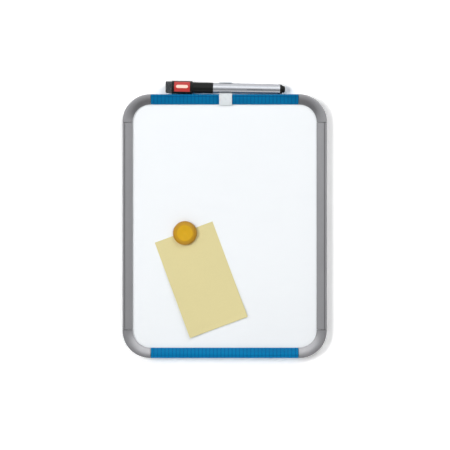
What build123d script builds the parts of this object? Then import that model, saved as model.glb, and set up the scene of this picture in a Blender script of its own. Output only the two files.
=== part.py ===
"""Small framed whiteboard with its marker, marker clip, magnet and note.

Millimetres. +Z is up, the front faces -Y, and the wall behind the board is the plane y = 0.
The origin lies on the wall, midway between the two keyholes that the board hangs from.
A height is a distance off the wall, and an inset is a distance inwards from the frame's outer edge.
"""
import os
from math import asin, cos, degrees, floor, radians, sin

from build123d import *

os.makedirs("parts", exist_ok=True)

# Board outline
board_width = 216.5
board_height = 279.5
corner_radius = 29.4
corner_straight = 0.4
rail_width = 10.7

# Panel: lacquered steel on a light core, with a thin metal back
steel_thickness = 0.35
core_thickness = 3.0
backing_thickness = 0.25
panel_edge_gap = 0.3

# Rail extrusion
rail_setback = 1.2
rail_wall = 1.1
crest_rise = 4.0
lip_rise = 1.6
shoulder_radius = 1.2
lip_round = 0.4
crease_inset = 2.4
crease_width = 0.8
crease_depth = 0.45
tongue_room = 3.4
web_thickness = 1.0
ledge_reach = 3.6
flange_reach = 4.0
flange_thickness = 1.2
rib_pitch = 3.95
rib_width = 0.9
rib_depth = 0.3

# Corner elbows
corner_proud = 0.25
seam_gap = 0.3
tongue_length = 15.0
tongue_gap = 0.1
tongue_head_gap = 0.35
tongue_lead = 0.8
gusset_thickness = 1.8
gusset_reach = 19.0
gusset_round = 3.0
ledge_clearance = 1.0
pocket_count = 3
pocket_outer_wall = 1.3
pocket_inner_wall = 1.2
pocket_roof = 2.4
pocket_rib = 1.5
pocket_end_wall = 3.0
pocket_round = 0.5
screw_head_room = 2.6
keyhole_inset = 19.25
keyhole_radius = 4.0
keyhole_slot = 4.0
keyhole_travel = 6.0

# Marker, measured along its axis from the cap's mouth
marker_tilt = 1.0
barrel_length = 70.9
barrel_front_radius = 5.45
barrel_rear_radius = 5.2
barrel_wall = 0.8
barrel_bead_length = 2.1
barrel_bead_rise = 0.12
cap_sleeve_length = 21.3
cap_sleeve_radius = 5.75
cap_wall = 0.85
cap_bore_depth = 37.0
cap_block_length = 22.5
cap_block_radius = 6.95
cap_shoulder_length = 1.2
cap_rim_round = 0.4
section_stem_length = 9.0
section_length = 11.0
section_gap = 0.25
section_bead_gap = 0.05
section_bead_width = 1.4
section_cone_length = 7.0
section_tip_radius = 2.9
nib_radius = 2.2
nib_reach = 5.0
nib_tail_radius = 1.5
nib_soak = 4.0
press_gap = 0.03
reservoir_length = 46.0
reservoir_gap = 0.35
reservoir_offset = 0.5
plug_flange_radius = 4.85
plug_flange_length = 2.3
plug_button_radius = 3.7
plug_button_length = 3.3
plug_button_round = 1.0
plug_dome_rise = 0.9
plug_stem_length = 7.0
felt_radius = 6.35
felt_gap = 0.05
felt_reach = 6.7
felt_round = 0.5
felt_socket_depth = 3.5
label_length = 16.6
label_height = 10.7
label_thickness = 0.12
label_gap = 0.02
label_end_margin = 2.6
label_turn = 6.0

# Marker clip
clip_x = 1.0
clip_width = 13.6
clip_wall = 1.2
clip_bridge = 0.85
clip_rail_gap = 0.1
clip_wall_gap = 0.2
clip_cradle_gap = 0.22
clip_jaw_wall = 0.75
clip_jaw_reach = 2.0
clip_rear_reach = 8.0
clip_toe = 0.85
clip_toe_drop = 0.6
clip_edge_chamfer = 0.3
clip_rim = 1.6
clip_recess = 0.35
marker_height = 8.2
cap_mouth_from_clip = 13.2

# Magnet and note
magnet_x = -42.1
magnet_above_centre = -7.4
magnet_radius = 12.8
magnet_rim_height = 1.8
magnet_height = 7.0
magnet_face_radius = 8.1
magnet_face_dish = 0.3
magnet_face_round = 0.6
magnet_disc_radius = 9.0
magnet_disc_thickness = 3.0
magnet_disc_gap = 0.1
note_width = 65.3
note_length = 107.9
note_thickness = 0.2
note_turn = 20.3
note_x = -24.85
note_above_centre = -56.9
note_gap = 0.05

# Heights off the wall
panel_rear_height = gusset_thickness + screw_head_room
core_height = panel_rear_height + backing_thickness
steel_height = core_height + core_thickness
surface_height = steel_height + steel_thickness
lip_height = surface_height + lip_rise
crest_height = surface_height + crest_rise

# Insets from the outer edge
web_inset = rail_wall + tongue_room
groove_inset = web_inset + web_thickness
panel_inset = groove_inset + panel_edge_gap
corner_leg = corner_radius + corner_straight

# The board's own plane: x to the right, y up, z out of the wall, from the middle of the board
hang_drop = board_height / 2 - keyhole_inset
board = Plane(origin=(0, 0, -hang_drop), x_dir=(1, 0, 0), z_dir=(0, -1, 0))


def section_plane(angle, half_across, half_along):
    """Plane across a side of the frame, at its right-hand end: x runs inwards and y off the wall."""
    side = board.moved(Rot(Z=angle))
    start = side.from_local_coords((half_along, half_across, 0))
    return Plane(origin=start, x_dir=-side.y_dir, z_dir=-side.x_dir)


# Rail section: outer wall, rounded crown that falls to the lip, groove for the panel, rear flange
with BuildSketch() as rail_outline:
    with BuildLine():
        outer = Line((0, rail_setback), (0, crest_height - shoulder_radius))
        shoulder = TangentArc(outer @ 1, (shoulder_radius, crest_height), tangent=outer % 1)
        crown = TangentArc(shoulder @ 1, (rail_width, lip_height), tangent=shoulder % 1)
        Polyline(
            crown @ 1,
            (rail_width, surface_height),
            (groove_inset, surface_height),
            (groove_inset, panel_rear_height),
            (groove_inset + flange_reach, panel_rear_height),
            (groove_inset + flange_reach, panel_rear_height - flange_thickness),
            (groove_inset, panel_rear_height - flange_thickness),
            (groove_inset, rail_setback),
            outer @ 0,
        )
    make_face()
    fillet(rail_outline.vertices().group_by(Axis.X)[-1].sort_by(Axis.Y)[-1], lip_round)

# The crease along the crest
with BuildSketch() as crease:
    Polygon(
        (crease_inset - crease_width / 2, crest_height),
        (crease_inset + crease_width / 2, crest_height),
        (crease_inset, crest_height - crease_depth),
        align=None,
    )

# Hollow of the extrusion, with room for a corner's tongue beside the outer wall
roof_height = crest_height - crease_depth - rail_wall
with BuildSketch() as rail_hollow:
    with BuildLine():
        roof_start = Line(
            (rail_wall, rail_setback + rail_wall),
            (rail_wall, roof_height),
        )
        roof = TangentArc(
            roof_start @ 1,
            (web_inset + ledge_reach, surface_height + rail_wall),
            tangent=(1, 0),
        )
        Polyline(
            roof @ 1,
            (web_inset, surface_height + rail_wall),
            (web_inset, rail_setback + rail_wall),
            roof_start @ 0,
        )
    make_face()

with BuildSketch() as rail_section:
    add(rail_outline.sketch)
    add(crease.sketch, mode=Mode.SUBTRACT)
    add(rail_hollow.sketch, mode=Mode.SUBTRACT)

# One cross groove of the blue rails, from the crease over the lip
with BuildSketch() as rib_groove:
    with BuildLine():
        floor_start = (shoulder_radius, crest_height - rib_depth)
        groove_floor = TangentArc(floor_start, (rail_width, lip_height - rib_depth), tangent=(1, 0))
        Polyline(
            groove_floor @ 1,
            (rail_width + lip_round, lip_height - rib_depth),
            (rail_width + lip_round, crest_height + rib_depth),
            (shoulder_radius, crest_height + rib_depth),
            groove_floor @ 0,
        )
    make_face()
    with Locations((crease_inset, crest_height + rib_depth)):
        Rectangle(rail_width, crest_height, align=(Align.MIN, Align.MAX), mode=Mode.INTERSECT)


def make_rail(angle, half_across, half_along):
    """A smooth rail between two corners."""
    with BuildPart() as rail:
        with BuildSketch(section_plane(angle, half_across, half_along)):
            add(rail_section.sketch)
        extrude(amount=2 * half_along)
    return rail


def make_ribbed_rail(angle, half_across, half_along):
    """A rail with cross grooves at an even pitch, centred on its length."""
    grooves = 1 + floor((2 * half_along - rib_pitch - rib_width) / rib_pitch)
    first = half_along - (grooves - 1) * rib_pitch / 2 - rib_width / 2
    end = section_plane(angle, half_across, half_along)
    with BuildPart() as rail:
        with BuildSketch(end):
            add(rail_section.sketch)
        extrude(amount=2 * half_along)
        with BuildSketch(*[end.offset(first + step * rib_pitch) for step in range(grooves)]):
            add(rib_groove.sketch)
        extrude(amount=rib_width, mode=Mode.SUBTRACT)
    return rail


half_long_rail = board_height / 2 - corner_leg - seam_gap
half_short_rail = board_width / 2 - corner_leg - seam_gap
rail_top = make_ribbed_rail(0, board_height / 2, half_short_rail)
rail_bottom = make_ribbed_rail(180, board_height / 2, half_short_rail)
rail_left = make_rail(90, board_width / 2, half_long_rail)
rail_right = make_rail(-90, board_width / 2, half_long_rail)


def panel_layer(height, thickness):
    """One layer of the panel, cut to the frame's groove."""
    with BuildPart() as layer:
        with BuildSketch(board.offset(height)):
            RectangleRounded(
                board_width - 2 * panel_inset,
                board_height - 2 * panel_inset,
                corner_radius - panel_inset,
            )
        extrude(amount=thickness)
    return layer


backing_sheet = panel_layer(panel_rear_height, backing_thickness)
core_board = panel_layer(core_height, core_thickness)
writing_sheet = panel_layer(steel_height, steel_thickness)

# Corner section: the rail's form without the crease, a little proud in front and down to the wall behind
corner_crest = crest_height + corner_proud
corner_lip = lip_height + corner_proud
with BuildSketch() as corner_section:
    with BuildLine():
        outer = Line((0, 0), (0, corner_crest - shoulder_radius))
        shoulder = TangentArc(outer @ 1, (shoulder_radius, corner_crest), tangent=outer % 1)
        crown = TangentArc(shoulder @ 1, (rail_width, corner_lip), tangent=shoulder % 1)
        Polyline(
            crown @ 1,
            (rail_width, surface_height),
            (groove_inset, surface_height),
            (groove_inset, 0),
            outer @ 0,
        )
    make_face()
    fillet(corner_section.vertices().group_by(Axis.X)[-1].sort_by(Axis.Y)[-1], lip_round)

tongue_width = tongue_room - 2 * tongue_gap
tongue_low = rail_setback + rail_wall + tongue_gap
tongue_high = roof_height - tongue_head_gap
with BuildSketch() as tongue_section:
    with Locations((rail_wall + tongue_gap, tongue_low)):
        Rectangle(tongue_width, tongue_high - tongue_low, align=(Align.MIN, Align.MIN))
    chamfer(tongue_section.vertices().group_by(Axis.Y)[-1], tongue_lead)

# The top right corner: one quarter-round moulding, which the other three mirror
right_edge = board_width / 2
top_edge = board_height / 2
arc_centre = (right_edge - corner_radius, top_edge - corner_radius)
top_seam = section_plane(0, top_edge, right_edge - corner_leg)
right_seam = section_plane(-90, right_edge, corner_leg - top_edge)
with BuildPart() as corner_top_right:
    with BuildLine(board):
        Line((right_edge - corner_leg, top_edge), (right_edge - corner_radius, top_edge))
        CenterArc(arc_centre, corner_radius, 90, -90)
        Line((right_edge, top_edge - corner_radius), (right_edge, top_edge - corner_leg))
    with BuildSketch(top_seam):
        add(corner_section.sketch)
    sweep()
    # Tongues that push into the rails
    with BuildSketch(top_seam):
        add(tongue_section.sketch)
    extrude(amount=tongue_length)
    with BuildSketch(right_seam):
        add(tongue_section.sketch)
    extrude(amount=-tongue_length)
    # Rear gusset across the corner
    with BuildSketch(board) as gusset_outline:
        with Locations((right_edge, top_edge)):
            Polygon(
                (-corner_leg, -web_inset),
                (-corner_leg, -gusset_reach),
                (-gusset_reach, -corner_leg),
                (-web_inset, -corner_leg),
                (-web_inset, -web_inset),
                align=None,
            )
        RectangleRounded(
            board_width - 2 * web_inset,
            board_height - 2 * web_inset,
            corner_radius - web_inset,
            mode=Mode.INTERSECT,
        )
        free_corners = gusset_outline.vertices().sort_by_distance((0, 0, 0))
        fillet(free_corners[:2], gusset_round)
    extrude(amount=gusset_thickness)
    # Rear pockets that keep the moulding's walls even, parted by ribs
    outer_radius = corner_radius - pocket_outer_wall
    inner_radius = corner_radius - groove_inset + pocket_inner_wall
    rib_angle = degrees(pocket_rib / outer_radius)
    end_angle = degrees(pocket_end_wall / outer_radius)
    pocket_angle = (90 - 2 * end_angle - (pocket_count - 1) * rib_angle) / pocket_count
    with BuildSketch(board) as pockets:
        for step in range(pocket_count):
            start_angle = end_angle + step * (pocket_angle + rib_angle)
            with BuildLine():
                outside = CenterArc(arc_centre, outer_radius, start_angle, pocket_angle)
                inside = CenterArc(arc_centre, inner_radius, start_angle, pocket_angle)
                Line(outside @ 0, inside @ 0)
                Line(outside @ 1, inside @ 1)
            make_face()
        fillet(pockets.vertices(), pocket_round)
    extrude(amount=corner_crest - pocket_roof, mode=Mode.SUBTRACT)
    # Ledges that carry the panel's back beside each rail
    ledge_length = corner_leg - keyhole_inset - keyhole_radius - ledge_clearance
    with BuildSketch(board.offset(gusset_thickness)):
        with Locations((right_edge - corner_leg, top_edge - web_inset)):
            Rectangle(ledge_length, flange_reach + web_thickness, align=(Align.MIN, Align.MAX))
        with Locations((right_edge - web_inset, top_edge - corner_leg)):
            Rectangle(flange_reach + web_thickness, ledge_length, align=(Align.MAX, Align.MIN))
    extrude(amount=screw_head_room)
    # Keyhole: the screw's head enters the round hole and the board drops until the neck fills the slot
    with BuildSketch(board):
        with Locations((right_edge - keyhole_inset, top_edge - keyhole_inset)):
            Circle(keyhole_radius)
        with Locations((right_edge - keyhole_inset, top_edge - keyhole_inset + keyhole_travel / 2)):
            SlotCenterToCenter(keyhole_travel, keyhole_slot, rotation=90)
    extrude(amount=gusset_thickness, mode=Mode.SUBTRACT)


def mirrored_corner(corner, about):
    """The same moulding for another corner of the frame."""
    with BuildPart() as copy:
        mirror(corner.part, about=about)
    return copy


board_waist = Plane(origin=board.origin, z_dir=(0, 0, 1))
corner_top_left = mirrored_corner(corner_top_right, Plane.YZ)
corner_bottom_right = mirrored_corner(corner_top_right, board_waist)
corner_bottom_left = mirrored_corner(corner_top_left, board_waist)

# The marker lies in the clip's cradle. Its plane has x along the axis from the cap's mouth to the plug.
barrel_taper = (barrel_front_radius - barrel_rear_radius) / barrel_length
clip_barrel_radius = barrel_front_radius - barrel_taper * cap_mouth_from_clip
cradle_radius = clip_barrel_radius + clip_cradle_gap
marker_rise = clip_rail_gap + clip_bridge + cradle_radius
cradle_point = board.from_local_coords((clip_x, board_height / 2 + marker_rise, marker_height))
marker_run = Vector(cos(radians(marker_tilt)), 0, -sin(radians(marker_tilt)))
cap_mouth = cradle_point - marker_run * cap_mouth_from_clip
marker = Plane(origin=cap_mouth, x_dir=marker_run, z_dir=(0, -1, 0))
marker_axis = Axis(cap_mouth, marker_run)

# Barrel: a tapered tube with a rolled bead at the plug's end
bore_radius = barrel_rear_radius - barrel_wall
bead_start = barrel_length - barrel_bead_length
bead_base = barrel_rear_radius + barrel_taper * barrel_bead_length
with BuildPart() as marker_barrel:
    with BuildSketch(marker):
        with BuildLine():
            Polyline(
                (0, bore_radius),
                (0, barrel_front_radius),
                (bead_start, bead_base),
                (bead_start, bead_base + barrel_bead_rise),
                (barrel_length, bead_base + barrel_bead_rise),
                (barrel_length, bore_radius),
                close=True,
            )
        make_face()
    revolve(axis=marker_axis)

# Section: the nib holder, its stem pressed into the barrel and its bead gripping the cap
sleeve_bore = cap_sleeve_radius - cap_wall
section_radius = sleeve_bore - section_gap
bead_radius = sleeve_bore - section_bead_gap
bead_middle = -section_length / 2
with BuildPart() as marker_section:
    with BuildSketch(marker):
        with BuildLine():
            Polyline(
                (section_stem_length, nib_tail_radius + press_gap),
                (section_stem_length, bore_radius - press_gap),
                (0, bore_radius - press_gap),
                (0, section_radius),
                (bead_middle + section_bead_width / 2, section_radius),
                (bead_middle + section_bead_width / 4, bead_radius),
                (bead_middle - section_bead_width / 4, bead_radius),
                (bead_middle - section_bead_width / 2, section_radius),
                (-section_length, section_radius),
                (-section_length - section_cone_length, section_tip_radius),
                (-section_length - section_cone_length, nib_tail_radius + press_gap),
                close=True,
            )
        make_face()
    revolve(axis=marker_axis)

# Nib: a bullet point in front of a thinner tail that reaches the ink
nib_seat = -section_length - section_cone_length
reservoir_start = section_stem_length + reservoir_offset
nib_end = reservoir_start + nib_soak
with BuildPart() as marker_nib:
    with BuildSketch(marker):
        with BuildLine():
            Polyline(
                (nib_end, 0),
                (nib_end, nib_tail_radius),
                (nib_seat, nib_tail_radius),
                (nib_seat, nib_radius),
                (nib_seat - nib_reach + nib_radius, nib_radius),
            )
            point = TangentArc(
                (nib_seat - nib_reach + nib_radius, nib_radius),
                (nib_seat - nib_reach, 0),
                tangent=(-1, 0),
            )
            Line(point @ 1, (nib_end, 0))
        make_face()
    revolve(axis=marker_axis)

# Ink reservoir: a fibre rod with a socket for the nib's tail
with BuildPart() as ink_reservoir:
    with BuildSketch(marker):
        with BuildLine():
            Polyline(
                (reservoir_start, nib_tail_radius + press_gap),
                (reservoir_start, bore_radius - reservoir_gap),
                (reservoir_start + reservoir_length, bore_radius - reservoir_gap),
                (reservoir_start + reservoir_length, 0),
                (nib_end + press_gap, 0),
                (nib_end + press_gap, nib_tail_radius + press_gap),
                close=True,
            )
        make_face()
    revolve(axis=marker_axis)

# End plug: stem in the barrel, flange against its bead, domed button
with BuildPart() as marker_plug:
    with BuildSketch(marker) as plug_profile:
        with BuildLine():
            plug_face = barrel_length + plug_flange_length
            plug_tip = plug_face + plug_button_length
            plug_outline = Polyline(
                (plug_tip, 0),
                (barrel_length - plug_stem_length, 0),
                (barrel_length - plug_stem_length, bore_radius - press_gap),
                (barrel_length, bore_radius - press_gap),
                (barrel_length, plug_flange_radius),
                (plug_face, plug_flange_radius),
                (plug_face, plug_button_radius),
                (plug_tip - plug_dome_rise, plug_button_radius),
            )
            TangentArc(plug_outline @ 0, plug_outline @ 1, tangent=(0, 1))
        make_face()
        fillet(plug_profile.vertices().sort_by_distance(plug_outline @ 1)[0], plug_button_round)
    revolve(axis=marker_axis)

# Cap: a sleeve over the section, which widens to a block with a cup for the eraser
block_start = -cap_sleeve_length
block_end = block_start - cap_block_length
felt_seat = block_end + felt_socket_depth
socket_radius = felt_radius + felt_gap
with BuildPart() as marker_cap:
    with BuildSketch(marker) as cap_profile:
        with BuildLine():
            Polyline(
                (0, sleeve_bore),
                (0, cap_sleeve_radius),
                (block_start, cap_sleeve_radius),
                (block_start - cap_shoulder_length, cap_block_radius),
                (block_end, cap_block_radius),
                (block_end, socket_radius),
                (felt_seat, socket_radius),
                (felt_seat, 0),
                (-cap_bore_depth, 0),
                (-cap_bore_depth, sleeve_bore),
                close=True,
            )
        make_face()
        fillet(cap_profile.vertices().group_by(Axis.Y)[-1], cap_rim_round)
    revolve(axis=marker_axis)

# Eraser: a felt pad in the cup
with BuildPart() as eraser_felt:
    with BuildSketch(marker) as felt_profile:
        with BuildLine():
            felt_face = block_end - felt_reach
            Polyline(
                (felt_seat, 0),
                (felt_seat, felt_radius),
                (felt_face, felt_radius),
                (felt_face, 0),
                close=True,
            )
        make_face()
        fillet(felt_profile.vertices().group_by(Axis.Y)[-1].sort_by(Axis.X)[0], felt_round)
    revolve(axis=marker_axis)

# Label: a plain sticker round the front of the cap's block
label_start = block_end + label_end_margin
label_inner = cap_block_radius + label_gap
label_half_angle = degrees(asin(label_height / 2 / (label_inner + label_thickness)))
label_plane = marker.moved(Rot(X=90 - label_turn - label_half_angle))
with BuildPart() as cap_label:
    with BuildSketch(label_plane):
        with Locations((label_start, label_inner)):
            Rectangle(label_length, label_thickness, align=(Align.MIN, Align.MIN))
    revolve(axis=marker_axis, revolution_arc=2 * label_half_angle)

# Marker clip, drawn across the top rail: x is the inset from the rail's top edge, y the height
cradle_inset = -marker_rise
jaw_radius = cradle_radius + clip_jaw_wall
towards_front = (Align.CENTER, Align.MIN)
bridge_top = -clip_rail_gap - clip_bridge
arm_in_crest = crest_height + clip_rail_gap
arm_out_crest = arm_in_crest + clip_wall
arm_in_lip = lip_height + clip_rail_gap
arm_out_lip = arm_in_lip + clip_wall
toe_start = rail_width + clip_rail_gap
toe_end = toe_start + clip_toe
toe_height = surface_height + clip_toe_drop
rear_arm_height = rail_setback - clip_rail_gap
with BuildPart() as marker_clip:
    with BuildSketch(section_plane(0, board_height / 2, clip_x + clip_width / 2)):
        # Cradle: a round back and two level jaws, open to the front
        with Locations((cradle_inset, marker_height)):
            Circle(jaw_radius)
            Rectangle(2 * jaw_radius, jaw_radius, align=towards_front, mode=Mode.SUBTRACT)
            Rectangle(2 * jaw_radius, clip_jaw_reach, align=towards_front)
            Circle(cradle_radius, mode=Mode.SUBTRACT)
            Rectangle(2 * cradle_radius, jaw_radius, align=towards_front, mode=Mode.SUBTRACT)
        # Band over the rail: rear arm, bridge under the marker, front arm and toe
        with BuildLine():
            back = Polyline(
                (clip_rear_reach, clip_wall_gap),
                (bridge_top, clip_wall_gap),
                (bridge_top, arm_out_crest - shoulder_radius),
            )
            out_shoulder = TangentArc(
                back @ 1,
                (bridge_top + shoulder_radius, arm_out_crest),
                tangent=(0, 1),
            )
            out_crown = TangentArc(out_shoulder @ 1, (toe_end, arm_out_lip), tangent=(1, 0))
            Polyline(
                out_crown @ 1,
                (toe_end, toe_height),
                (toe_start, toe_height),
                (toe_start, arm_in_lip),
            )
            in_crown = TangentArc((shoulder_radius, arm_in_crest), (toe_start, arm_in_lip), tangent=(1, 0))
            in_shoulder = TangentArc(
                (-clip_rail_gap, arm_in_crest - shoulder_radius),
                in_crown @ 0,
                tangent=(0, 1),
            )
            Polyline(
                in_shoulder @ 0,
                (-clip_rail_gap, rear_arm_height),
                (clip_rear_reach, rear_arm_height),
                back @ 0,
            )
        make_face()
    extrude(amount=clip_width)
    chamfer(marker_clip.faces().filter_by(Axis.X).edges(), clip_edge_chamfer)
    # Thumb recess in the front arm, inside a raised rim
    with BuildSketch(section_plane(0, board_height / 2, clip_x + clip_width / 2 - clip_rim)):
        with BuildLine():
            recess_floor = TangentArc(
                (bridge_top + shoulder_radius, arm_out_crest - clip_recess),
                (toe_end, arm_out_lip - clip_recess),
                tangent=(1, 0),
            )
            Polyline(
                recess_floor @ 1,
                (toe_end, arm_out_crest),
                (bridge_top + shoulder_radius, arm_out_crest),
                recess_floor @ 0,
            )
        make_face()
        with Locations((toe_end - clip_rim, arm_out_crest)):
            Rectangle(
                toe_end - bridge_top - 2 * clip_rim,
                arm_out_crest,
                align=(Align.MAX, Align.MAX),
                mode=Mode.INTERSECT,
            )
    extrude(amount=clip_width - 2 * clip_rim, mode=Mode.SUBTRACT)

# Magnet: a button with a low rim, a rounded flank and a slightly dished face
magnet_seat = surface_height + note_thickness + 2 * note_gap
magnet_base = board.from_local_coords((magnet_x, magnet_above_centre, magnet_seat))
magnet_axis = Axis(magnet_base, (0, -1, 0))
magnet = Plane(origin=magnet_base, x_dir=(1, 0, 0), z_dir=(0, 0, -1))
disc_room_radius = magnet_disc_radius + magnet_disc_gap
disc_room_height = magnet_disc_thickness + magnet_disc_gap
with BuildPart() as magnet_button:
    with BuildSketch(magnet) as magnet_section:
        with BuildLine():
            rim = Polyline(
                (0, disc_room_height),
                (disc_room_radius, disc_room_height),
                (disc_room_radius, 0),
                (magnet_radius, 0),
                (magnet_radius, magnet_rim_height),
            )
            flank = TangentArc(rim @ 1, (magnet_face_radius, magnet_height), tangent=(0, 1))
            dish = TangentArc(
                (0, magnet_height - magnet_face_dish),
                (magnet_face_radius, magnet_height),
                tangent=(1, 0),
            )
            Line(dish @ 0, rim @ 0)
        make_face()
        fillet(magnet_section.vertices().group_by(Axis.Y)[-1], magnet_face_round)
    revolve(axis=magnet_axis)

with BuildPart() as magnet_disc:
    with BuildSketch(Plane(origin=magnet_base, x_dir=(1, 0, 0), z_dir=(0, -1, 0))):
        Circle(magnet_disc_radius)
    extrude(amount=magnet_disc_thickness)

# Note: one sheet, pinned by the magnet over its top edge
with BuildPart() as note_sheet:
    with BuildSketch(board.offset(surface_height + note_gap)):
        with Locations((note_x, note_above_centre)):
            Rectangle(note_width, note_length, rotation=note_turn)
    extrude(amount=note_thickness)

pieces = {
    "writing_sheet": writing_sheet,
    "core_board": core_board,
    "backing_sheet": backing_sheet,
    "rail_top": rail_top,
    "rail_bottom": rail_bottom,
    "rail_left": rail_left,
    "rail_right": rail_right,
    "corner_top_left": corner_top_left,
    "corner_top_right": corner_top_right,
    "corner_bottom_left": corner_bottom_left,
    "corner_bottom_right": corner_bottom_right,
    "marker_clip": marker_clip,
    "marker_barrel": marker_barrel,
    "marker_section": marker_section,
    "marker_nib": marker_nib,
    "ink_reservoir": ink_reservoir,
    "marker_plug": marker_plug,
    "marker_cap": marker_cap,
    "eraser_felt": eraser_felt,
    "cap_label": cap_label,
    "magnet_button": magnet_button,
    "magnet_disc": magnet_disc,
    "note_sheet": note_sheet,
}
for name, piece in pieces.items():
    piece.part.label = name
    export_step(piece.part, f"parts/{name}.step")
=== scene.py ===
"""Dress a small framed whiteboard with its marker clip, marker, magnet and note.

Metres, in the packed frame: +Z is up, the front faces -Y, and the wall behind is the plane y = 0.
"""

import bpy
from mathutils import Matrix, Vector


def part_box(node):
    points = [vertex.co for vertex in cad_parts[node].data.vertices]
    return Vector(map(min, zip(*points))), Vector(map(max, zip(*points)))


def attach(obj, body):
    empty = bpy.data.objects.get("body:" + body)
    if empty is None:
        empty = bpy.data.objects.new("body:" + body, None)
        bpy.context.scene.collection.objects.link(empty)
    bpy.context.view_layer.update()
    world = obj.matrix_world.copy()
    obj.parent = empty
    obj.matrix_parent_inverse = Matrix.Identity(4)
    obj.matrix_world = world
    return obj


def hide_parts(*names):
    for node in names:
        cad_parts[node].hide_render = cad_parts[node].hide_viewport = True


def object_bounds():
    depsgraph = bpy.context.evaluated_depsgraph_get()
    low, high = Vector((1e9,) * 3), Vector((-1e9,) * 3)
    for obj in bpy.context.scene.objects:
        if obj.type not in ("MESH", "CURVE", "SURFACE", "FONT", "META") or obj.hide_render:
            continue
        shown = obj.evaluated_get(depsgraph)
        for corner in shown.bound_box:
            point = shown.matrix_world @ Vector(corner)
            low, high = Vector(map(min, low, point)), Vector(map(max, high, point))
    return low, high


bl_info = {
    "name": "Framed Whiteboard",
    "version": (1, 0, 0),
    "blender": (4, 5, 0),
    "location": "View3D > Sidebar > Whiteboard",
    "description": "Finishes for a small framed whiteboard, its marker, magnet and note, and a plain studio",
    "category": "Object",
}

from math import cos, pi, radians, sin

import bmesh
import bpy
from bpy.props import FloatProperty, FloatVectorProperty, IntProperty, PointerProperty
from mathutils import Matrix, Vector, noise

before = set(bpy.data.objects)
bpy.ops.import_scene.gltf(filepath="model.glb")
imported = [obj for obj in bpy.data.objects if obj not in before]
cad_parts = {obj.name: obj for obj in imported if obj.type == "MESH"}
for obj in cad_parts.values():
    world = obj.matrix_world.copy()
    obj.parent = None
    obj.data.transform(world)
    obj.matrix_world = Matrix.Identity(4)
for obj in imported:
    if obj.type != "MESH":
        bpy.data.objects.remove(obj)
CAD_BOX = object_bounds()

MM = 0.001
ACROSS = Vector((1.0, 0.0, 0.0))
FRONT = Vector((0.0, -1.0, 0.0))
UP = Vector((0.0, 0.0, 1.0))
UPRIGHT = Matrix.Rotation(radians(90), 4, "X")
SHARP_ANGLE = radians(35)
MERGE_DISTANCE = 0.001 * MM

# The Mix node's sockets for colours, which share their names with those for numbers
MIX_FIRST = 6
MIX_SECOND = 7
MIX_RESULT = 2


def colour_property(label, description, default):
    """A colour setting, in the values that a screen shows."""
    return FloatVectorProperty(
        name=label,
        description=description,
        default=default,
        size=3,
        min=0.0,
        max=1.0,
        subtype="COLOR_GAMMA",
    )


def place_property(label, description, default):
    """A place on either side of the frame's origin, in metres."""
    return FloatProperty(
        name=label, description=description, default=default, subtype="DISTANCE", unit="LENGTH"
    )


def length_property(label, description, default):
    """A length setting, in metres."""
    return FloatProperty(
        name=label, description=description, default=default, min=0.0, subtype="DISTANCE", unit="LENGTH"
    )


def factor_property(label, description, default):
    """A share from 0 to 1."""
    return FloatProperty(
        name=label, description=description, default=default, min=0.0, max=1.0, subtype="FACTOR"
    )


def light_property(label, description, default):
    """A lamp's power in watts, or the strength of a glow."""
    return FloatProperty(name=label, description=description, default=default, min=0.0)


class PanelFinish(bpy.types.PropertyGroup):
    """The writing panel's colours."""

    lacquer: colour_property("Lacquer", "White lacquer of the writing sheet", (0.945, 0.958, 0.968))
    wiped_ink: colour_property("Wiped ink", "Faint haze that wiped ink leaves", (0.86, 0.88, 0.91))
    haze: factor_property("Haze", "How much of the haze shows", 0.05)
    backing: colour_property("Backing", "Coated sheet on the back", (0.62, 0.63, 0.64))
    backing_streak: colour_property("Backing streak", "Faint streaks in the backing", (0.52, 0.53, 0.54))
    core: colour_property("Core", "Light board between the sheets", (0.72, 0.62, 0.47))
    core_fleck: colour_property("Core fleck", "Darker fibres in the core", (0.55, 0.45, 0.32))


class FrameFinish(bpy.types.PropertyGroup):
    """The rails' and elbows' colours."""

    blue: colour_property("Blue", "Top and bottom rails", (0.0, 0.455, 0.66))
    # The darker blue is real tone in the streaks and painted shade in the grooves and creases
    streak_and_shade_blue: colour_property("Deep blue", "Shade in the rails' streaks and grooves", (0.0, 0.36, 0.56))
    groove_pitch: length_property("Groove pitch", "From one cross groove to the next", 3.95 * MM)
    groove_width: length_property("Groove width", "Width of a cross groove", 0.9 * MM)
    grey: colour_property("Grey", "Side rails", (0.53, 0.53, 0.54))
    elbow_grey: colour_property("Elbow grey", "Corner elbows", (0.54, 0.54, 0.55))
    crease_inset: length_property("Crease inset", "From a rail's outer edge to its crease", 2.4 * MM)
    crease_width: length_property("Crease width", "Width of the crease", 0.8 * MM)
    seam_gap: length_property("Seam gap", "Open seam between a rail and an elbow", 0.3 * MM)
    seam_shade: colour_property("Seam shade", "Shade in the seams and creases", (0.2, 0.2, 0.21))
    # Painted light and shade: the lower blue rail and elbows are made lighter and the upper ones darker, as
    # light from above would make them
    painted_light_spread: factor_property("Painted light spread", "How much lighter the lower blue rail and elbows are", 0.09)
    rail_pearl: factor_property("Rail pearl", "Metallic share of the side rails", 0.25)
    elbow_pearl: factor_property("Elbow pearl", "Metallic share of the elbows", 0.9)


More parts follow.
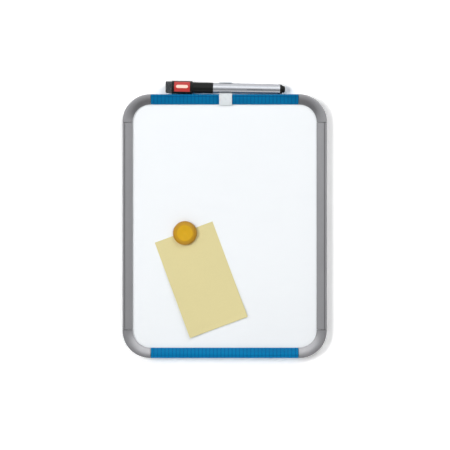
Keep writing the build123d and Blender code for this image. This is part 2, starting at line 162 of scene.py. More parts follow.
class MarkerFinish(bpy.types.PropertyGroup):
    """The marker's and the clip's colours, and the felt's nap."""

    clip: colour_property("Clip", "Milky plastic of the marker clip", (0.86, 0.88, 0.89))
    clip_cloud: colour_property("Clip cloud", "Thicker streaks in the clip's plastic", (0.83, 0.86, 0.88))
    silver: colour_property("Silver", "Lacquered barrel", (0.68, 0.69, 0.71))
    print_ink: colour_property("Print", "Dashes printed on the barrel", (0.25, 0.26, 0.28))
    black: colour_property("Black", "Cap, section and plug", (0.07, 0.08, 0.08))
    label: colour_property("Label", "Sticker on the cap", (0.74, 0.145, 0.125))
    label_bar: colour_property("Label bar", "Plain bar on the sticker", (0.95, 0.83, 0.77))
    felt: colour_property("Felt", "Eraser felt", (0.225, 0.24, 0.25))
    felt_fleck: colour_property("Felt fleck", "Pale fibres in the felt", (0.5, 0.5, 0.52))
    nap: length_property("Nap", "How uneven the felt's surface is", 0.16 * MM)
    felt_edge: length_property("Felt edge", "Rounding of the felt's two edges", 0.6 * MM)
    nib: colour_property("Nib", "Fibre soaked with ink", (0.12, 0.12, 0.15))
    nib_fleck: colour_property("Nib fleck", "Paler fibres in the nib", (0.22, 0.22, 0.27))


class NoteFinish(bpy.types.PropertyGroup):
    """The magnet's and the note's colours and the note's curl."""

    amber: colour_property("Amber", "Magnet's plastic button", (0.825, 0.638, 0.08))
    # Painted shade on the magnet's flank, darker than the flat face
    amber_flank_shade: colour_property("Deep amber", "Magnet's flank, where the plastic is thick", (0.66, 0.46, 0.1))
    face_radius: length_property("Face radius", "Radius of the magnet's flat face", 8.1 * MM)
    ferrite: colour_property("Ferrite", "Magnet disc", (0.3, 0.3, 0.31))
    ferrite_grain: colour_property("Ferrite grain", "Darker grain of the magnet disc", (0.2, 0.2, 0.21))
    paper: colour_property("Paper", "Note paper", (0.866, 0.822, 0.61))
    width: length_property("Width", "Note's short side", 65.3 * MM)
    length: length_property("Length", "Note's long side", 107.9 * MM)
    thickness: length_property("Thickness", "Note paper's thickness", 0.12 * MM)
    lie: length_property("Lie", "Gap between the note and the writing sheet", 0.06 * MM)
    curl: length_property("Curl", "About how far the left edge's middle stands off the board", 1.7 * MM)
    turn: FloatProperty(
        name="Turn", description="Note's tilt", default=radians(20.3), subtype="ANGLE", unit="ROTATION"
    )
    columns: IntProperty(name="Columns", description="Faces across the note", default=24, min=4, max=80)
    rows: IntProperty(name="Rows", description="Faces along the note", default=40, min=4, max=120)


class StudioSettings(bpy.types.PropertyGroup):
    """Camera, lamps and stage."""

    lens: FloatProperty(name="Lens", description="Camera lens in millimetres", default=150.0, min=35.0)
    camera_distance: length_property("Distance", "From the wall to the camera", 1.9975)
    camera_across: place_property("Across", "Camera's place across the board", 0.37 * MM)
    camera_height: place_property("Height", "Camera's height from the keyholes", -119.33 * MM)
    key_power: light_property("Key", "Key lamp in watts", 33.0)
    top_power: light_property("Top", "Overhead lamp in watts", 8.6)
    rear_power: light_property("Rear", "Lamp that lights the back, in watts", 22.0)
    fill: light_property("Fill", "World light on the object", 0.33)
    card_glow: light_property("Card glow", "Radiance of the reflected bright card", 2.3)
    upper_glow: light_property("Upper glow", "Radiance of the card overhead", 1.5)
    ceiling_glow: light_property("Ceiling glow", "Radiance of the ceiling", 1.4)
    low_glow: light_property("Low glow", "Radiance of the card low down", 1.1)
    dim_glow: light_property("Dim glow", "Radiance of the reflected dark card", 0.38)
    wall_lift: factor_property("Wall lift", "Added to the wall's white for the camera", 0.25)
    floor_white: factor_property("Floor white", "Added to the floor's white for the camera", 0.65)
    floor_drop: length_property("Floor drop", "From the camera's height down to the floor", 1.0)


def linear(colour):
    """A screen colour as the linear values that a shader takes, with full opacity."""
    toe = 0.04045
    toe_slope = 12.92
    offset = 0.055
    power = 2.4
    return [c / toe_slope if c <= toe else ((c + offset) / (1.0 + offset)) ** power for c in colour] + [1.0]


def scaled(colour, share):
    """A colour made darker, or with a share above 1 lighter, as far as white."""
    return [min(1.0, c * share) for c in colour]


def grey(value):
    """A neutral linear colour."""
    return (value, value, value, 1.0)


def add_node(tree, kind, values=None, **settings):
    """A shader node with its settings, its constants and its links."""
    made = tree.nodes.new("ShaderNode" + kind)
    for setting, value in settings.items():
        setattr(made, setting, value)
    for socket, value in (values or {}).items():
        if isinstance(value, bpy.types.NodeSocket):
            tree.links.new(value, made.inputs[socket])
        else:
            made.inputs[socket].default_value = value
    return made


class Surface:
    """A material in the making: its shader, and the colour and relief that lead to it so far."""

    def __init__(self, name, colour, sockets):
        self.material = bpy.data.materials.new(name)
        self.material.use_nodes = True
        self.tree = self.material.node_tree
        self.shader = self.tree.nodes["Principled BSDF"]
        self.colour = linear(colour)
        self.normal = None
        for socket, value in {"Base Color": self.colour, **sockets}.items():
            self.shader.inputs[socket].default_value = value
        self.place = self.node("TexCoord").outputs["Object"]

    def node(self, kind, values=None, **settings):
        """A node of this material."""
        return add_node(self.tree, kind, values, **settings)

    def lead(self, socket, value):
        """Links an output to one of the shader's own sockets."""
        self.tree.links.new(value, self.shader.inputs[socket])

    def calculate(self, operation, first, second=0.0):
        """One step of arithmetic."""
        return self.node("Math", {0: first, 1: second}, operation=operation).outputs[0]

    def product(self, first, *others):
        """Several values multiplied together."""
        for value in others:
            first = self.calculate("MULTIPLY", first, value)
        return first

    def noise(self, per_metre, detail, stretch=(1.0, 1.0, 1.0)):
        """Smooth noise on the piece's own coordinates, drawn out by stretch."""
        drawn = self.node("Mapping", {"Vector": self.place, "Scale": stretch}).outputs["Vector"]
        return self.node("TexNoise", {"Vector": drawn, "Scale": per_metre, "Detail": detail}).outputs[0]

    def cells(self, per_metre):
        """Distance to the nearest of many scattered points."""
        return self.node("TexVoronoi", {"Vector": self.place, "Scale": per_metre}).outputs["Distance"]

    def spread(self, value, low, high, at_low=0.0, at_high=1.0):
        """Takes value from low..high to at_low..at_high, and holds it at the ends."""
        ends = {"Value": value, "From Min": low, "From Max": high, "To Min": at_low, "To Max": at_high}
        return self.node("MapRange", ends, clamp=True).outputs[0]

    def offset_along(self, origin, direction):
        """How far a point lies from origin along direction, less than 0 on its other side."""
        away = self.node("VectorMath", {0: self.place, 1: origin}, operation="SUBTRACT").outputs["Vector"]
        return self.node("VectorMath", {0: away, 1: direction}, operation="DOT_PRODUCT").outputs["Value"]

    def distance_along(self, origin, direction):
        """How far a point lies from origin along direction, on either side."""
        return self.calculate("ABSOLUTE", self.offset_along(origin, direction))

    def window(self, value, low, high, soft):
        """1 between low and high, 0 outside, with soft edges."""
        rise = self.spread(value, low - soft, low + soft)
        fall = self.spread(value, high - soft, high + soft, 1.0, 0.0)
        return self.product(rise, fall)

    def tint(self, factor, colour):
        """Mixes the colour so far with another by a factor."""
        ends = {0: factor, MIX_FIRST: self.colour, MIX_SECOND: linear(colour)}
        self.colour = self.node("Mix", ends, data_type="RGBA").outputs[MIX_RESULT]
        self.lead("Base Color", self.colour)

    def tint_above(self, value, colour, share, low=0.35, high=0.7):
        """Mixes in more of another colour as value goes from low to high, up to a share of it."""
        self.tint(self.spread(value, low, high, 0.0, share), colour)

    def tint_below(self, value, colour, share, low, high):
        """Mixes in a share of another colour where value is under low, and none over high."""
        self.tint(self.spread(value, low, high, share, 0.0), colour)

    def gloss(self, value, smooth, rough, low=0.3, high=0.7):
        """Roughness from smooth to rough as value goes from low to high."""
        self.lead("Roughness", self.spread(value, low, high, smooth, rough))

    def relief(self, height, depth):
        """Bumps as deep as depth, on top of those so far."""
        values = {"Height": height, "Distance": depth, "Strength": 1.0}
        if self.normal:
            values["Normal"] = self.normal
        self.normal = self.node("Bump", values).outputs["Normal"]
        self.lead("Normal", self.normal)


def dress(material, *nodes):
    """Gives CAD nodes a material."""
    for name in nodes:
        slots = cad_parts[name].data.materials
        slots.clear()
        slots.append(material)


def middle(node):
    """The middle of a node's box."""
    low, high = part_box(node)
    return (low + high) / 2


def mesh_object(name, mesh_tool, material):
    """Turns a finished bmesh into an object of the scene."""
    mesh = bpy.data.meshes.new(name)
    mesh_tool.to_mesh(mesh)
    mesh_tool.free()
    mesh.materials.append(material)
    made = bpy.data.objects.new(name, mesh)
    bpy.context.scene.collection.objects.link(made)
    return made


def new_piece(name, mesh_tool, material, body, replaced):
    """Makes a piece of a finished bmesh, which rides on a body and stands for a CAD node."""
    bmesh.ops.remove_doubles(mesh_tool, verts=mesh_tool.verts[:], dist=MERGE_DISTANCE)
    bmesh.ops.recalc_face_normals(mesh_tool, faces=mesh_tool.faces[:])
    for edge in mesh_tool.edges:
        edge.smooth = edge.calc_face_angle(0.0) < SHARP_ANGLE
    for face in mesh_tool.faces:
        face.smooth = True
    piece = mesh_object(name, mesh_tool, material)
    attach(piece, body)
    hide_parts(replaced)


def lacquered_steel(finish):
    """Glossy white lacquer with a faint haze of wiped ink."""
    sockets = {"Roughness": 0.18, "Coat Weight": 0.25, "Coat Roughness": 0.08}
    surface = Surface("white_lacquer", finish.lacquer, sockets)
    strokes = surface.noise(26.0, detail=5.0, stretch=(1.0, 1.0, 3.2))
    surface.tint_above(strokes, finish.wiped_ink, share=finish.haze, low=0.52, high=0.78)
    surface.gloss(surface.noise(60.0, detail=4.0, stretch=(0.4, 1.0, 1.0)), smooth=0.14, rough=0.26)
    surface.relief(surface.noise(900.0, detail=2.0), depth=0.004 * MM)
    return surface.material


def coated_backing(finish):
    """Grey coated sheet with the rolling direction's faint streaks."""
    surface = Surface("grey_backing", finish.backing, {"Roughness": 0.45, "Metallic": 0.35})
    streaks = surface.noise(400.0, detail=4.0, stretch=(1.0, 1.0, 0.03))
    surface.tint_above(streaks, finish.backing_streak, share=0.3)
    surface.gloss(surface.noise(35.0, detail=3.0), smooth=0.4, rough=0.55)
    surface.relief(streaks, depth=0.006 * MM)
    return surface.material


def core_fibre(finish):
    """Light brown board."""
    surface = Surface("core_fibre", finish.core, {"Roughness": 0.9})
    surface.tint_above(surface.noise(700.0, detail=4.0), finish.core_fleck, share=0.5, low=0.4)
    surface.relief(surface.noise(1500.0, detail=3.0), depth=0.03 * MM)
    return surface.material


def shade_creases(surface, finish, first, last, direction, colour):
    """Paints shade into the crease of two rails that face each other along direction."""
    soft_edge = 0.08 * MM
    strength = 0.5
    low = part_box(first)[0]
    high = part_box(last)[1]
    from_middle = surface.distance_along((low + high) / 2, direction)
    crease = (high - low).dot(direction) / 2 - finish.crease_inset
    half_crease = finish.crease_width / 2
    band = surface.window(from_middle, crease - half_crease, crease + half_crease, soft_edge)
    surface.tint(surface.product(band, strength), colour)


def painted_light_colour(finish, level, colour):
    """A colour of the frame with painted shade at the top or, a little lighter, with painted light at the
    bottom.
    """
    half_spread = finish.painted_light_spread / 2
    return scaled(colour, 1.0 + half_spread if level == "bottom" else 1.0 - half_spread)


def blue_plastic_painted_light_and_shade(finish, level):
    """Satin blue plastic with faint streaks along the rail, painted shade in its grooves and its crease, and
    painted shade on the top rail and painted light on the bottom one.
    """
    inner_soft = 0.05 * MM
    outer_soft = 0.1 * MM
    blue = painted_light_colour(finish, level, finish.blue)
    streak_and_shade_blue = painted_light_colour(finish, level, finish.streak_and_shade_blue)
    surface = Surface(f"blue_plastic_{level}", blue, {"Roughness": 0.42, "Specular IOR Level": 0.06})
    surface.tint_above(surface.noise(140.0, detail=3.0, stretch=(0.15, 1.0, 1.0)), streak_and_shade_blue, share=0.4)
    # Painted shade in the cross grooves
    along = surface.offset_along(middle("rail_top"), ACROSS)
    from_groove = surface.calculate("PINGPONG", along, finish.groove_pitch / 2)
    half_groove = finish.groove_width / 2
    surface.tint_below(
        from_groove, streak_and_shade_blue, share=0.75, low=half_groove - inner_soft, high=half_groove + outer_soft
    )
    shade_creases(surface, finish, "rail_bottom", "rail_top", UP, streak_and_shade_blue)
    surface.gloss(surface.noise(90.0, detail=3.0), smooth=0.36, rough=0.5)
    surface.relief(surface.noise(2600.0, detail=2.0), depth=0.006 * MM)
    return surface.material


def pearl_plastic(name, colour, pearl, smooth, rough):
    """Grey plastic with fine pearl flakes, still without its shaded seams or creases."""
    surface = Surface(name, colour, {"Roughness": smooth, "Metallic": pearl})
    surface.tint_below(surface.cells(2600.0), scaled(colour, 1.25), share=0.14, low=0.15, high=0.6)
    surface.tint_above(surface.noise(45.0, detail=3.0), scaled(colour, 0.86), share=0.12)
    surface.gloss(surface.noise(120.0, detail=3.0), smooth, rough)
    surface.relief(surface.noise(3000.0, detail=2.0), depth=0.004 * MM)
    return surface


def rail_plastic(finish):
    """Pearl grey of the side rails, with painted shade down in the crease."""
    surface = pearl_plastic("grey_rail_plastic", finish.grey, finish.rail_pearl, smooth=0.34, rough=0.46)
    shade_creases(surface, finish, "rail_left", "rail_right", ACROSS, finish.seam_shade)
    return surface.material


def elbow_plastic_painted_light_and_shade(finish, level):
    """Pearl grey of the elbows, with painted shade on the tongues that the seams show and beside the seams,
    painted shade on the top elbows and painted light on the bottom ones.
    """
    sharp_edge = 0.02 * MM
    fade_start = 0.25 * MM
    fade_end = 0.4 * MM
    tone = painted_light_colour(finish, level, finish.elbow_grey)
    surface = pearl_plastic(f"elbow_plastic_{level}", tone, finish.elbow_pearl, smooth=0.3, rough=0.4)
    for rail, direction in (("rail_left", UP), ("rail_top", ACROSS)):
        low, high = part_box(rail)
        from_middle = surface.distance_along((low + high) / 2, direction)
        seam = (high - low).dot(direction) / 2 + finish.seam_gap
        # Painted shade: dark on the tongues inside the seams, and a softer band on the elbow's edge beside
        # each seam
        for share, start, end in ((0.9, -sharp_edge, sharp_edge), (0.5, fade_start, fade_end)):
            surface.tint_below(from_middle, finish.seam_shade, share, low=seam + start, high=seam + end)
    return surface.material


def milky_plastic(finish):
    """Milky white moulded plastic."""
    glow_depths = (1.0 * MM, 1.0 * MM, 1.1 * MM)
    sockets = {"Roughness": 0.3, "Subsurface Weight": 0.12, "Subsurface Radius": glow_depths}
    surface = Surface("milky_plastic", finish.clip, sockets)
    clouds = surface.noise(260.0, detail=3.0, stretch=(1.0, 1.0, 0.3))
    surface.tint_above(clouds, finish.clip_cloud, share=0.3)
    surface.gloss(surface.noise(300.0, detail=2.0), smooth=0.24, rough=0.38)
    surface.relief(surface.noise(2200.0, detail=2.0), depth=0.004 * MM)
    return surface.material


def marker_direction():
    """The marker's axis, from the eraser to the plug, found from its pieces' middles."""
    return (middle("marker_plug") - middle("eraser_felt")).normalized()


def silver_lacquer(finish):
    """Silver lacquered tube with a row of plain printed dashes, bold at first and then faint."""
    pitch = 2.4 * MM
    half_gap = 0.5 * MM
    soft_edge = 0.05 * MM
    bold_start, bold_end = 0.6 * MM, 16.6 * MM
    faint_start, faint_end = 17.4 * MM, 32.4 * MM
    end_softness = 0.03 * MM
    row_foot, row_top = -1.9 * MM, -0.8 * MM
    front_fade = 1.0 * MM
    faint_share = 0.5
    ink_share = 0.85
    surface = Surface("silver_lacquer", finish.silver, {"Roughness": 0.25, "Metallic": 0.75})
    streaks = surface.noise(500.0, detail=3.0, stretch=(0.02, 1.0, 1.0))
    surface.tint_above(streaks, scaled(finish.silver, 0.9), share=0.25)
    surface.gloss(surface.noise(150.0, detail=3.0), smooth=0.14, rough=0.24)
    run = marker_direction()
    origin = middle("marker_barrel")
    along = surface.offset_along(origin, run)
    across = surface.offset_along(origin, FRONT.cross(run))
    from_gap = surface.calculate("PINGPONG", along, pitch / 2)
    dashes = surface.spread(from_gap, half_gap - soft_edge, half_gap + soft_edge)
    bold = surface.window(along, bold_start, bold_end, end_softness)
    faint = surface.product(surface.window(along, faint_start, faint_end, end_softness), faint_share)
    inked = surface.calculate("ADD", bold, faint)
    row = surface.window(across, row_foot, row_top, soft_edge)
    front = surface.spread(surface.offset_along(origin, FRONT), 0.0, front_fade)
    surface.tint(surface.product(dashes, inked, row, front, ink_share), finish.print_ink)
    return surface.material


def black_plastic(finish):
    """Black moulded plastic."""
    surface = Surface("black_plastic", finish.black, {"Roughness": 0.32, "Specular IOR Level": 0.15})
    surface.tint_above(surface.noise(220.0, detail=3.0), scaled(finish.black, 0.75), share=0.4)
    surface.gloss(surface.noise(260.0, detail=3.0), smooth=0.26, rough=0.42)
    surface.relief(surface.noise(2400.0, detail=2.0), depth=0.006 * MM)
    return surface.material


def label_paper(finish):
    """Coated red sticker with a plain pale bar on it."""
    half_bar = 4.6 * MM
    bar_radius = 1.7 * MM
    soft_edge = 0.06 * MM
    surface = Surface("label_paper", finish.label, {"Roughness": 0.35})
    surface.tint_above(surface.noise(350.0, detail=3.0), scaled(finish.label, 0.85), share=0.2)
    run = marker_direction()
    centre = middle("cap_label")
    along = surface.distance_along(centre, run)
    across = surface.offset_along(centre, FRONT.cross(run))
    past_end = surface.calculate("MAXIMUM", surface.calculate("SUBTRACT", along, half_bar))
    from_line = surface.node("CombineXYZ", {0: past_end, 1: across}).outputs[0]
    reach = surface.node("VectorMath", {0: from_line}, operation="LENGTH").outputs["Value"]
    surface.tint_below(
        reach, finish.label_bar, share=1.0, low=bar_radius - soft_edge, high=bar_radius + soft_edge
    )
    surface.relief(surface.noise(1800.0, detail=2.0), depth=0.006 * MM)
    return surface.material


def felt_fibres(finish):
    """Dense dark felt with pale fibres."""
    sockets = {"Roughness": 1.0, "Sheen Weight": 0.3, "Sheen Roughness": 0.6, "Specular IOR Level": 0.1}
    surface = Surface("felt_fibres", finish.felt, sockets)
    fibres = surface.noise(1100.0, detail=6.0, stretch=(1.0, 1.0, 0.5))
    surface.tint_above(fibres, finish.felt_fleck, share=0.75, low=0.5, high=0.72)
    surface.tint_above(surface.cells(900.0), scaled(finish.felt, 0.55), share=0.5, low=0.3)
    surface.relief(fibres, depth=0.25 * MM)
    return surface.material


def ink_fibres(finish):
    """Fibre nib soaked with ink."""
    surface = Surface("ink_fibres", finish.nib, {"Roughness": 0.75})
    fibres = surface.noise(2500.0, detail=4.0, stretch=(0.1, 1.0, 1.0))
    surface.tint_above(fibres, finish.nib_fleck, share=0.5, low=0.4)
    surface.relief(fibres, depth=0.03 * MM)
    return surface.material


def amber_plastic(finish):
    """Amber yellow moulded plastic, with painted shade on the flank around the flat face."""
    face_end = finish.face_radius - 0.4 * MM
    flank_start = finish.face_radius + 0.5 * MM
    flank_end = finish.face_radius + 4 * MM
    surface = Surface("amber_plastic", finish.amber, {"Roughness": 0.34, "Specular IOR Level": 0.25})
    surface.tint_above(surface.noise(180.0, detail=3.0), scaled(finish.amber, 0.92), share=0.35)
    out = surface.node("VectorMath", {0: surface.place, 1: middle("magnet_button")}, operation="SUBTRACT")
    flat = surface.node("VectorMath", {0: out.outputs["Vector"], 1: ACROSS + UP}, operation="MULTIPLY")
    reach = surface.node("VectorMath", {0: flat.outputs["Vector"]}, operation="LENGTH").outputs["Value"]
    # Painted shade: a ring where the face meets the flank, and more of it over the flank
    surface.tint_above(reach, finish.amber_flank_shade, share=0.45, low=face_end, high=flank_start)
    surface.tint_above(reach, finish.amber_flank_shade, share=0.5, low=flank_start, high=flank_end)
    surface.gloss(surface.noise(240.0, detail=3.0), smooth=0.3, rough=0.42)
    surface.relief(surface.noise(2200.0, detail=2.0), depth=0.005 * MM)
    return surface.material


def ferrite_disc(finish):
    """Dull dark sintered disc."""
    surface = Surface("ferrite_disc", finish.ferrite, {"Roughness": 0.6})
    surface.tint_above(surface.noise(1500.0, detail=4.0), finish.ferrite_grain, share=0.5, low=0.4)
    surface.relief(surface.noise(2500.0, detail=3.0), depth=0.02 * MM)
    return surface.material


def note_stock(finish):
    """Pale yellow uncoated paper."""
    surface = Surface("note_stock", finish.paper, {"Roughness": 0.85, "Specular IOR Level": 0.2})
    fibres = surface.noise(900.0, detail=6.0)
    surface.tint_above(fibres, scaled(finish.paper, 0.92), share=0.12, low=0.4)
    surface.tint_above(surface.noise(30.0, detail=2.0), scaled(finish.paper, 1.03), share=0.15, low=0.4)
    surface.relief(fibres, depth=0.015 * MM)
    return surface.material


class WHITEBOARD_OT_panel(bpy.types.Operator):
    """Finish the writing sheet, the core and the backing"""

    bl_idname = "whiteboard.panel"
    bl_label = "Writing panel"

    def execute(self, context):
        finish = context.scene.whiteboard_panel
        dress(lacquered_steel(finish), "writing_sheet")
        dress(coated_backing(finish), "backing_sheet")
        dress(core_fibre(finish), "core_board")
        return {"FINISHED"}


class WHITEBOARD_OT_rails(bpy.types.Operator):
    """Finish the blue rails and the grey rails"""

    bl_idname = "whiteboard.rails"
    bl_label = "Rails"

    def execute(self, context):
        finish = context.scene.whiteboard_frame
        for level in ("top", "bottom"):
            dress(blue_plastic_painted_light_and_shade(finish, level), f"rail_{level}")
        dress(rail_plastic(finish), "rail_left", "rail_right")
        return {"FINISHED"}


class WHITEBOARD_OT_elbows(bpy.types.Operator):
    """Finish the four corner elbows"""

    bl_idname = "whiteboard.elbows"
    bl_label = "Corner elbows"

    def execute(self, context):
        finish = context.scene.whiteboard_frame
        for level in ("top", "bottom"):
            dress(elbow_plastic_painted_light_and_shade(finish, level), f"corner_{level}_left", f"corner_{level}_right")
        return {"FINISHED"}


class WHITEBOARD_OT_clip(bpy.types.Operator):
    """Finish the marker clip"""

    bl_idname = "whiteboard.clip"
    bl_label = "Marker clip"

    def execute(self, context):
        dress(milky_plastic(context.scene.whiteboard_marker), "marker_clip")
        return {"FINISHED"}


class WHITEBOARD_OT_marker(bpy.types.Operator):
    """Finish the marker's barrel, section, nib, reservoir, plug, cap and label"""

    bl_idname = "whiteboard.marker"
    bl_label = "Marker"

    def execute(self, context):
        finish = context.scene.whiteboard_marker
        dress(silver_lacquer(finish), "marker_barrel")
        dress(black_plastic(finish), "marker_section", "marker_plug", "marker_cap")
        dress(ink_fibres(finish), "marker_nib", "ink_reservoir")
        dress(label_paper(finish), "cap_label")
        return {"FINISHED"}


def climb(edge):
    """How far an edge goes up."""
    first, second = edge.verts
    return abs(first.co.z - second.co.z)


def round_pad(radius, length, edge_round):
    """An upright cylinder with rounded edges, and with its side and its ends cut into small faces."""
    staves = 96
    side_cuts = 14
    end_insets = 12
    pad = bmesh.new()
    bmesh.ops.create_cone(
        pad, cap_ends=True, cap_tris=False, segments=staves, radius1=radius, radius2=radius, depth=length
    )
    rings = [edge for edge in pad.edges if climb(edge) < length / 2]
    bmesh.ops.bevel(pad, geom=rings, offset=edge_round, segments=3, profile=0.5, affect="EDGES", material=-1)
    upright = [edge for edge in pad.edges if climb(edge) > length / 2]
    bmesh.ops.subdivide_edges(pad, edges=upright, cuts=side_cuts)
    for _ in range(end_insets):
        ends = [face for face in pad.faces if len(face.verts) == staves]
        bmesh.ops.inset_region(pad, faces=ends, thickness=radius / (end_insets + 1), use_even_offset=True)
    return pad


def raise_nap(pad, radius, nap):
    """Draws the points of an upright round pad in, each by its own share of the nap."""
    fibres_per_metre = 1600.0
    falloff = 0.8
    step = 2.0
    octaves = 3
    rim = radius * 0.93
    for vert in pad.verts:
        share = 0.5 + 0.5 * noise.fractal(vert.co * fibres_per_metre, falloff, step, octaves)
        from_axis = Vector((vert.co.x, vert.co.y, 0.0))
        if from_axis.length > rim:
            outward = from_axis.normalized()
        else:
            outward = UP if vert.co.z > 0 else -UP
        vert.co -= outward * max(0.0, nap * share)


class WHITEBOARD_OT_eraser(bpy.types.Operator):
    """Make the eraser's felt, with a napped surface"""

    bl_idname = "whiteboard.eraser"
    bl_label = "Eraser felt"

    def execute(self, context):
        finish = context.scene.whiteboard_marker
        low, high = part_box("eraser_felt")
        run = marker_direction()
        radius = (high.y - low.y) / 2
        length = ((high.x - low.x) - 2 * radius * abs(run.z)) / run.x
        felt = round_pad(radius, length, finish.felt_edge)
        raise_nap(felt, radius, finish.nap)
        turn = run.to_track_quat("Z", "Y").to_matrix().to_4x4()
        felt.transform(Matrix.Translation(middle("eraser_felt")) @ turn)
        new_piece("eraser_felt_napped", felt, felt_fibres(finish), "cap", "eraser_felt")
        return {"FINISHED"}


class WHITEBOARD_OT_magnet(bpy.types.Operator):
    """Finish the magnet's button and disc"""

    bl_idname = "whiteboard.magnet"
    bl_label = "Magnet"

    def execute(self, context):
        finish = context.scene.whiteboard_note
        dress(amber_plastic(finish), "magnet_button")
        dress(ferrite_disc(finish), "magnet_disc")
        return {"FINISHED"}


def note_lift(across, down):
    """How far a point of the note stands off the board, counted in the note's curl.

    across goes from -1 at the left edge to 1 at the right one, and down from 0 at the top to 1.
    """
    pinned_share = 0.1
    bend_share = 0.35
    free = min(1.0, max(0.0, (down - pinned_share) / bend_share))
    left_edge = free * free * (3 - 2 * free) * max(0.0, -across) ** 2.5
    right_corner = 0.3 * max(0.0, across) ** 4 * down**3
    bottom_edge = 0.6 * down**4
    ripple = 0.05 * down * (1.0 + sin(2 * pi * (0.8 * across + 0.9 * down)))
    return left_edge + right_corner + bottom_edge + ripple


class WHITEBOARD_OT_note(bpy.types.Operator):
    """Make the paper note, pinned at its top and curling off the board lower down"""

    bl_idname = "whiteboard.note"
    bl_label = "Paper note"

    def execute(self, context):
        finish = context.scene.whiteboard_note
        solid_gap = 0.05 * MM
        note = bmesh.new()
        bmesh.ops.create_grid(note, x_segments=finish.columns, y_segments=finish.rows, size=0.5)
        for vert in note.verts:
            lift = finish.curl * note_lift(2 * vert.co.x, 0.5 - vert.co.y)
            vert.co = (vert.co.x * finish.width, vert.co.y * finish.length, lift)
        solid = bmesh.ops.extrude_face_region(note, geom=note.faces[:])
        raised = [part for part in solid["geom"] if isinstance(part, bmesh.types.BMVert)]
        bmesh.ops.translate(note, verts=raised, vec=(0.0, 0.0, finish.thickness))
        low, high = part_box("note_sheet")
        spot = Vector(((low.x + high.x) / 2, high.y + solid_gap - finish.lie, (low.z + high.z) / 2))
        note.transform(Matrix.Translation(spot) @ UPRIGHT @ Matrix.Rotation(finish.turn, 4, "Z"))
        new_piece("paper_note", note, note_stock(finish), "note", "note_sheet")
        return {"FINISHED"}


def stage_plane(name, half_width, half_height, place, material):
    """A flat stage piece, from a grid that place sets in the scene."""
    sheet = bmesh.new()
    bmesh.ops.create_grid(sheet, x_segments=1, y_segments=1, size=1.0)
    sheet.transform(place @ Matrix.Diagonal((half_width, half_height, 1.0, 1.0)))
    piece = mesh_object(name, sheet, material)
    return piece


def bare_material(name):
    """A material and its node tree, with nothing in it yet."""
    material = bpy.data.materials.new(name)
    material.use_nodes = True
    material.node_tree.nodes.clear()
    return material, material.node_tree


def wall_paint(lift):
    """White wall that the camera sees from the front only, with the object's shadow on it."""
    material, tree = bare_material("wall_paint")
    paint = add_node(tree, "BsdfDiffuse", {"Color": grey(0.97)})
    brighter = add_node(tree, "BsdfDiffuse", {"Color": grey(lift)})
    lit = add_node(tree, "AddShader", {0: paint.outputs[0], 1: brighter.outputs[0]})
    clear = add_node(tree, "BsdfTransparent")
    camera_ray = add_node(tree, "LightPath").outputs["Is Camera Ray"]
    behind = add_node(tree, "NewGeometry").outputs["Backfacing"]
    seen = add_node(tree, "Math", {0: camera_ray, 1: behind}, operation="SUBTRACT", use_clamp=True)
    mix = add_node(tree, "MixShader", {0: seen.outputs[0], 1: clear.outputs[0], 2: lit.outputs[0]})
    add_node(tree, "OutputMaterial", {"Surface": mix.outputs[0]})
    return material


def floor_paint(white):
    """Pale matt floor, whiter for the camera and with the object's shadow on it."""
    material, tree = bare_material("floor_paint")
    paint = add_node(tree, "BsdfDiffuse", {"Color": grey(0.92)})
    camera_ray = add_node(tree, "LightPath").outputs["Is Camera Ray"]
    whiter = add_node(tree, "Math", {0: camera_ray, 1: white}, operation="MULTIPLY")
    glow = add_node(tree, "Emission", {"Strength": whiter.outputs[0]})
    lit = add_node(tree, "AddShader", {0: paint.outputs[0], 1: glow.outputs[0]})
    add_node(tree, "OutputMaterial", {"Surface": lit.outputs[0]})
    return material


def glowing_paint(name, strength):
    """An even white glow."""
    material, tree = bare_material(name)
    glow = add_node(tree, "Emission", {"Strength": strength})
    add_node(tree, "OutputMaterial", {"Surface": glow.outputs[0]})
    return material


def reflector(name, half_width, half_height, elevation, distance, target, material):
    """A card in front of the object that only its glossy reflections show."""
    slope = radians(elevation)
    spot = target + (FRONT * cos(slope) + UP * sin(slope)) * distance
    place = Matrix.Translation(spot) @ UPRIGHT @ Matrix.Rotation(-slope, 4, "X")
    card = stage_plane(name, half_width, half_height, place, material)
    card.visible_camera = False
    card.visible_diffuse = False
    card.visible_shadow = False
    card.visible_transmission = False


def studio_world(fill):
    """White where it is seen or mirrored, and an even fill on the object."""
    world = bpy.data.worlds.new("studio")
    bpy.context.scene.world = world
    world.use_nodes = True
    tree = world.node_tree
    tree.nodes.clear()
    seen = add_node(tree, "Background", {"Color": grey(1.0)})
    even = add_node(tree, "Background", {"Color": (0.985, 0.99, 1.0, 1.0), "Strength": fill})
    rays = add_node(tree, "LightPath").outputs
    either = add_node(tree, "Math", {0: rays["Is Camera Ray"], 1: rays["Is Glossy Ray"]}, operation="MAXIMUM")
    inputs = {0: either.outputs[0], 1: rays["Is Transmission Ray"]}
    any_of = add_node(tree, "Math", inputs, operation="MAXIMUM")
    mix = add_node(tree, "MixShader", {0: any_of.outputs[0], 1: even.outputs[0], 2: seen.outputs[0]})
    add_node(tree, "OutputWorld", {"Surface": mix.outputs[0]})


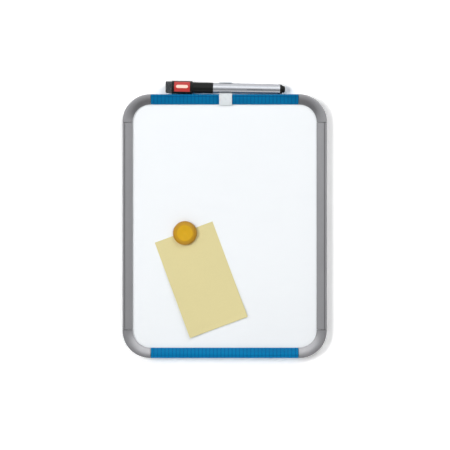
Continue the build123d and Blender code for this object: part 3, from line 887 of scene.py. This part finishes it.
def soft_lamp(name, width, height, azimuth, elevation, distance, target, power):
    """A rectangular soft lamp. Azimuth 0 is in front of the board, and above 0 is to the viewer's right."""
    side = radians(azimuth)
    rise = radians(elevation)
    towards = Vector((sin(side) * cos(rise), -cos(side) * cos(rise), sin(rise)))
    data = bpy.data.lights.new(name, "AREA")
    data.shape = "RECTANGLE"
    data.size = width
    data.size_y = height
    data.energy = power
    lamp = bpy.data.objects.new(name, data)
    lamp.location = target + towards * distance
    lamp.rotation_mode = "QUATERNION"
    lamp.rotation_quaternion = towards.to_track_quat("Z", "Y")
    lamp.visible_camera = False
    lamp.visible_glossy = False
    bpy.context.scene.collection.objects.link(lamp)


def add_camera(settings):
    """A camera that looks straight at the board."""
    data = bpy.data.cameras.new("camera")
    data.lens = settings.lens
    camera = bpy.data.objects.new("camera", data)
    camera.location = (settings.camera_across, -settings.camera_distance, settings.camera_height)
    camera.rotation_euler = (radians(90), 0.0, 0.0)
    bpy.context.scene.collection.objects.link(camera)
    bpy.context.scene.camera = camera


# Each card's name, half width, half height, elevation in degrees, distance and glow setting
CARDS = (
    ("dark_card", 0.7, 0.33, -27.0, 0.9, "dim_glow"),
    ("low_card", 0.7, 0.3, -68.0, 0.9, "low_glow"),
    ("bright_card", 1.5, 0.5, 30.0, 1.5, "card_glow"),
    ("upper_card", 1.5, 0.3, 60.0, 1.5, "upper_glow"),
    ("ceiling_card", 1.5, 0.6, 93.0, 1.5, "ceiling_glow"),
)

# Each lamp's name, width, height, azimuth and elevation in degrees, distance and power setting
LAMPS = (
    ("key", 0.8, 0.9, -33.0, 9.0, 2.6, "key_power"),
    ("top", 0.7, 0.6, 26.0, 34.0, 1.8, "top_power"),
    ("rear", 1.0, 1.0, 150.0, 30.0, 1.8, "rear_power"),
)


class WHITEBOARD_OT_studio(bpy.types.Operator):
    """Set up the wall, the floor, the lamps and the camera"""

    bl_idname = "whiteboard.studio"
    bl_label = "Studio"

    def execute(self, context):
        settings = context.scene.whiteboard_studio
        heart = UP * settings.camera_height
        floor_height = heart.z - settings.floor_drop
        wall_gap = 0.2 * MM
        reach = 3.0
        wall_place = Matrix.Translation((0.0, CAD_BOX[1].y + wall_gap, floor_height + reach)) @ UPRIGHT
        stage_plane("wall", reach, reach, wall_place, wall_paint(settings.wall_lift))
        floor_place = Matrix.Translation((0.0, 0.0, floor_height))
        stage_plane("floor", reach, reach, floor_place, floor_paint(settings.floor_white))
        for *card, glow in CARDS:
            reflector(*card, heart, glowing_paint(glow, getattr(settings, glow)))
        studio_world(settings.fill)
        for *lamp, power in LAMPS:
            soft_lamp(*lamp, heart, getattr(settings, power))
        add_camera(settings)
        context.scene.view_settings.view_transform = "Standard"
        return {"FINISHED"}


PIECE_OPERATORS = (
    WHITEBOARD_OT_panel,
    WHITEBOARD_OT_rails,
    WHITEBOARD_OT_elbows,
    WHITEBOARD_OT_clip,
    WHITEBOARD_OT_marker,
    WHITEBOARD_OT_eraser,
    WHITEBOARD_OT_magnet,
    WHITEBOARD_OT_note,
    WHITEBOARD_OT_studio,
)

SETTINGS = {
    "whiteboard_panel": PanelFinish,
    "whiteboard_frame": FrameFinish,
    "whiteboard_marker": MarkerFinish,
    "whiteboard_note": NoteFinish,
    "whiteboard_studio": StudioSettings,
}


class WHITEBOARD_PT_sidebar(bpy.types.Panel):
    """The whiteboard's settings and operators"""

    bl_idname = "WHITEBOARD_PT_sidebar"
    bl_label = "Whiteboard"
    bl_space_type = "VIEW_3D"
    bl_region_type = "UI"
    bl_category = "Whiteboard"

    def draw(self, context):
        for operator in PIECE_OPERATORS:
            self.layout.operator(operator.bl_idname)
        for name, group in SETTINGS.items():
            box = self.layout.box()
            box.label(text=group.__doc__)
            for setting in group.__annotations__:
                box.prop(getattr(context.scene, name), setting)


CLASSES = (*SETTINGS.values(), *PIECE_OPERATORS, WHITEBOARD_PT_sidebar)


def register():
    """Registers the settings, the operators and the panel."""
    for cls in CLASSES:
        bpy.utils.register_class(cls)
    for name, group in SETTINGS.items():
        setattr(bpy.types.Scene, name, PointerProperty(type=group))


def unregister():
    """Takes back what register did."""
    for name in SETTINGS:
        delattr(bpy.types.Scene, name)
    for cls in reversed(CLASSES):
        bpy.utils.unregister_class(cls)


def main():
    """Registers the settings and operators, then runs every operator to dress the board and set up the
    studio.
    """
    register()
    for operator in PIECE_OPERATORS:
        getattr(bpy.ops.whiteboard, operator.bl_idname.split(".")[1])()


if __name__ == "__main__":
    main()
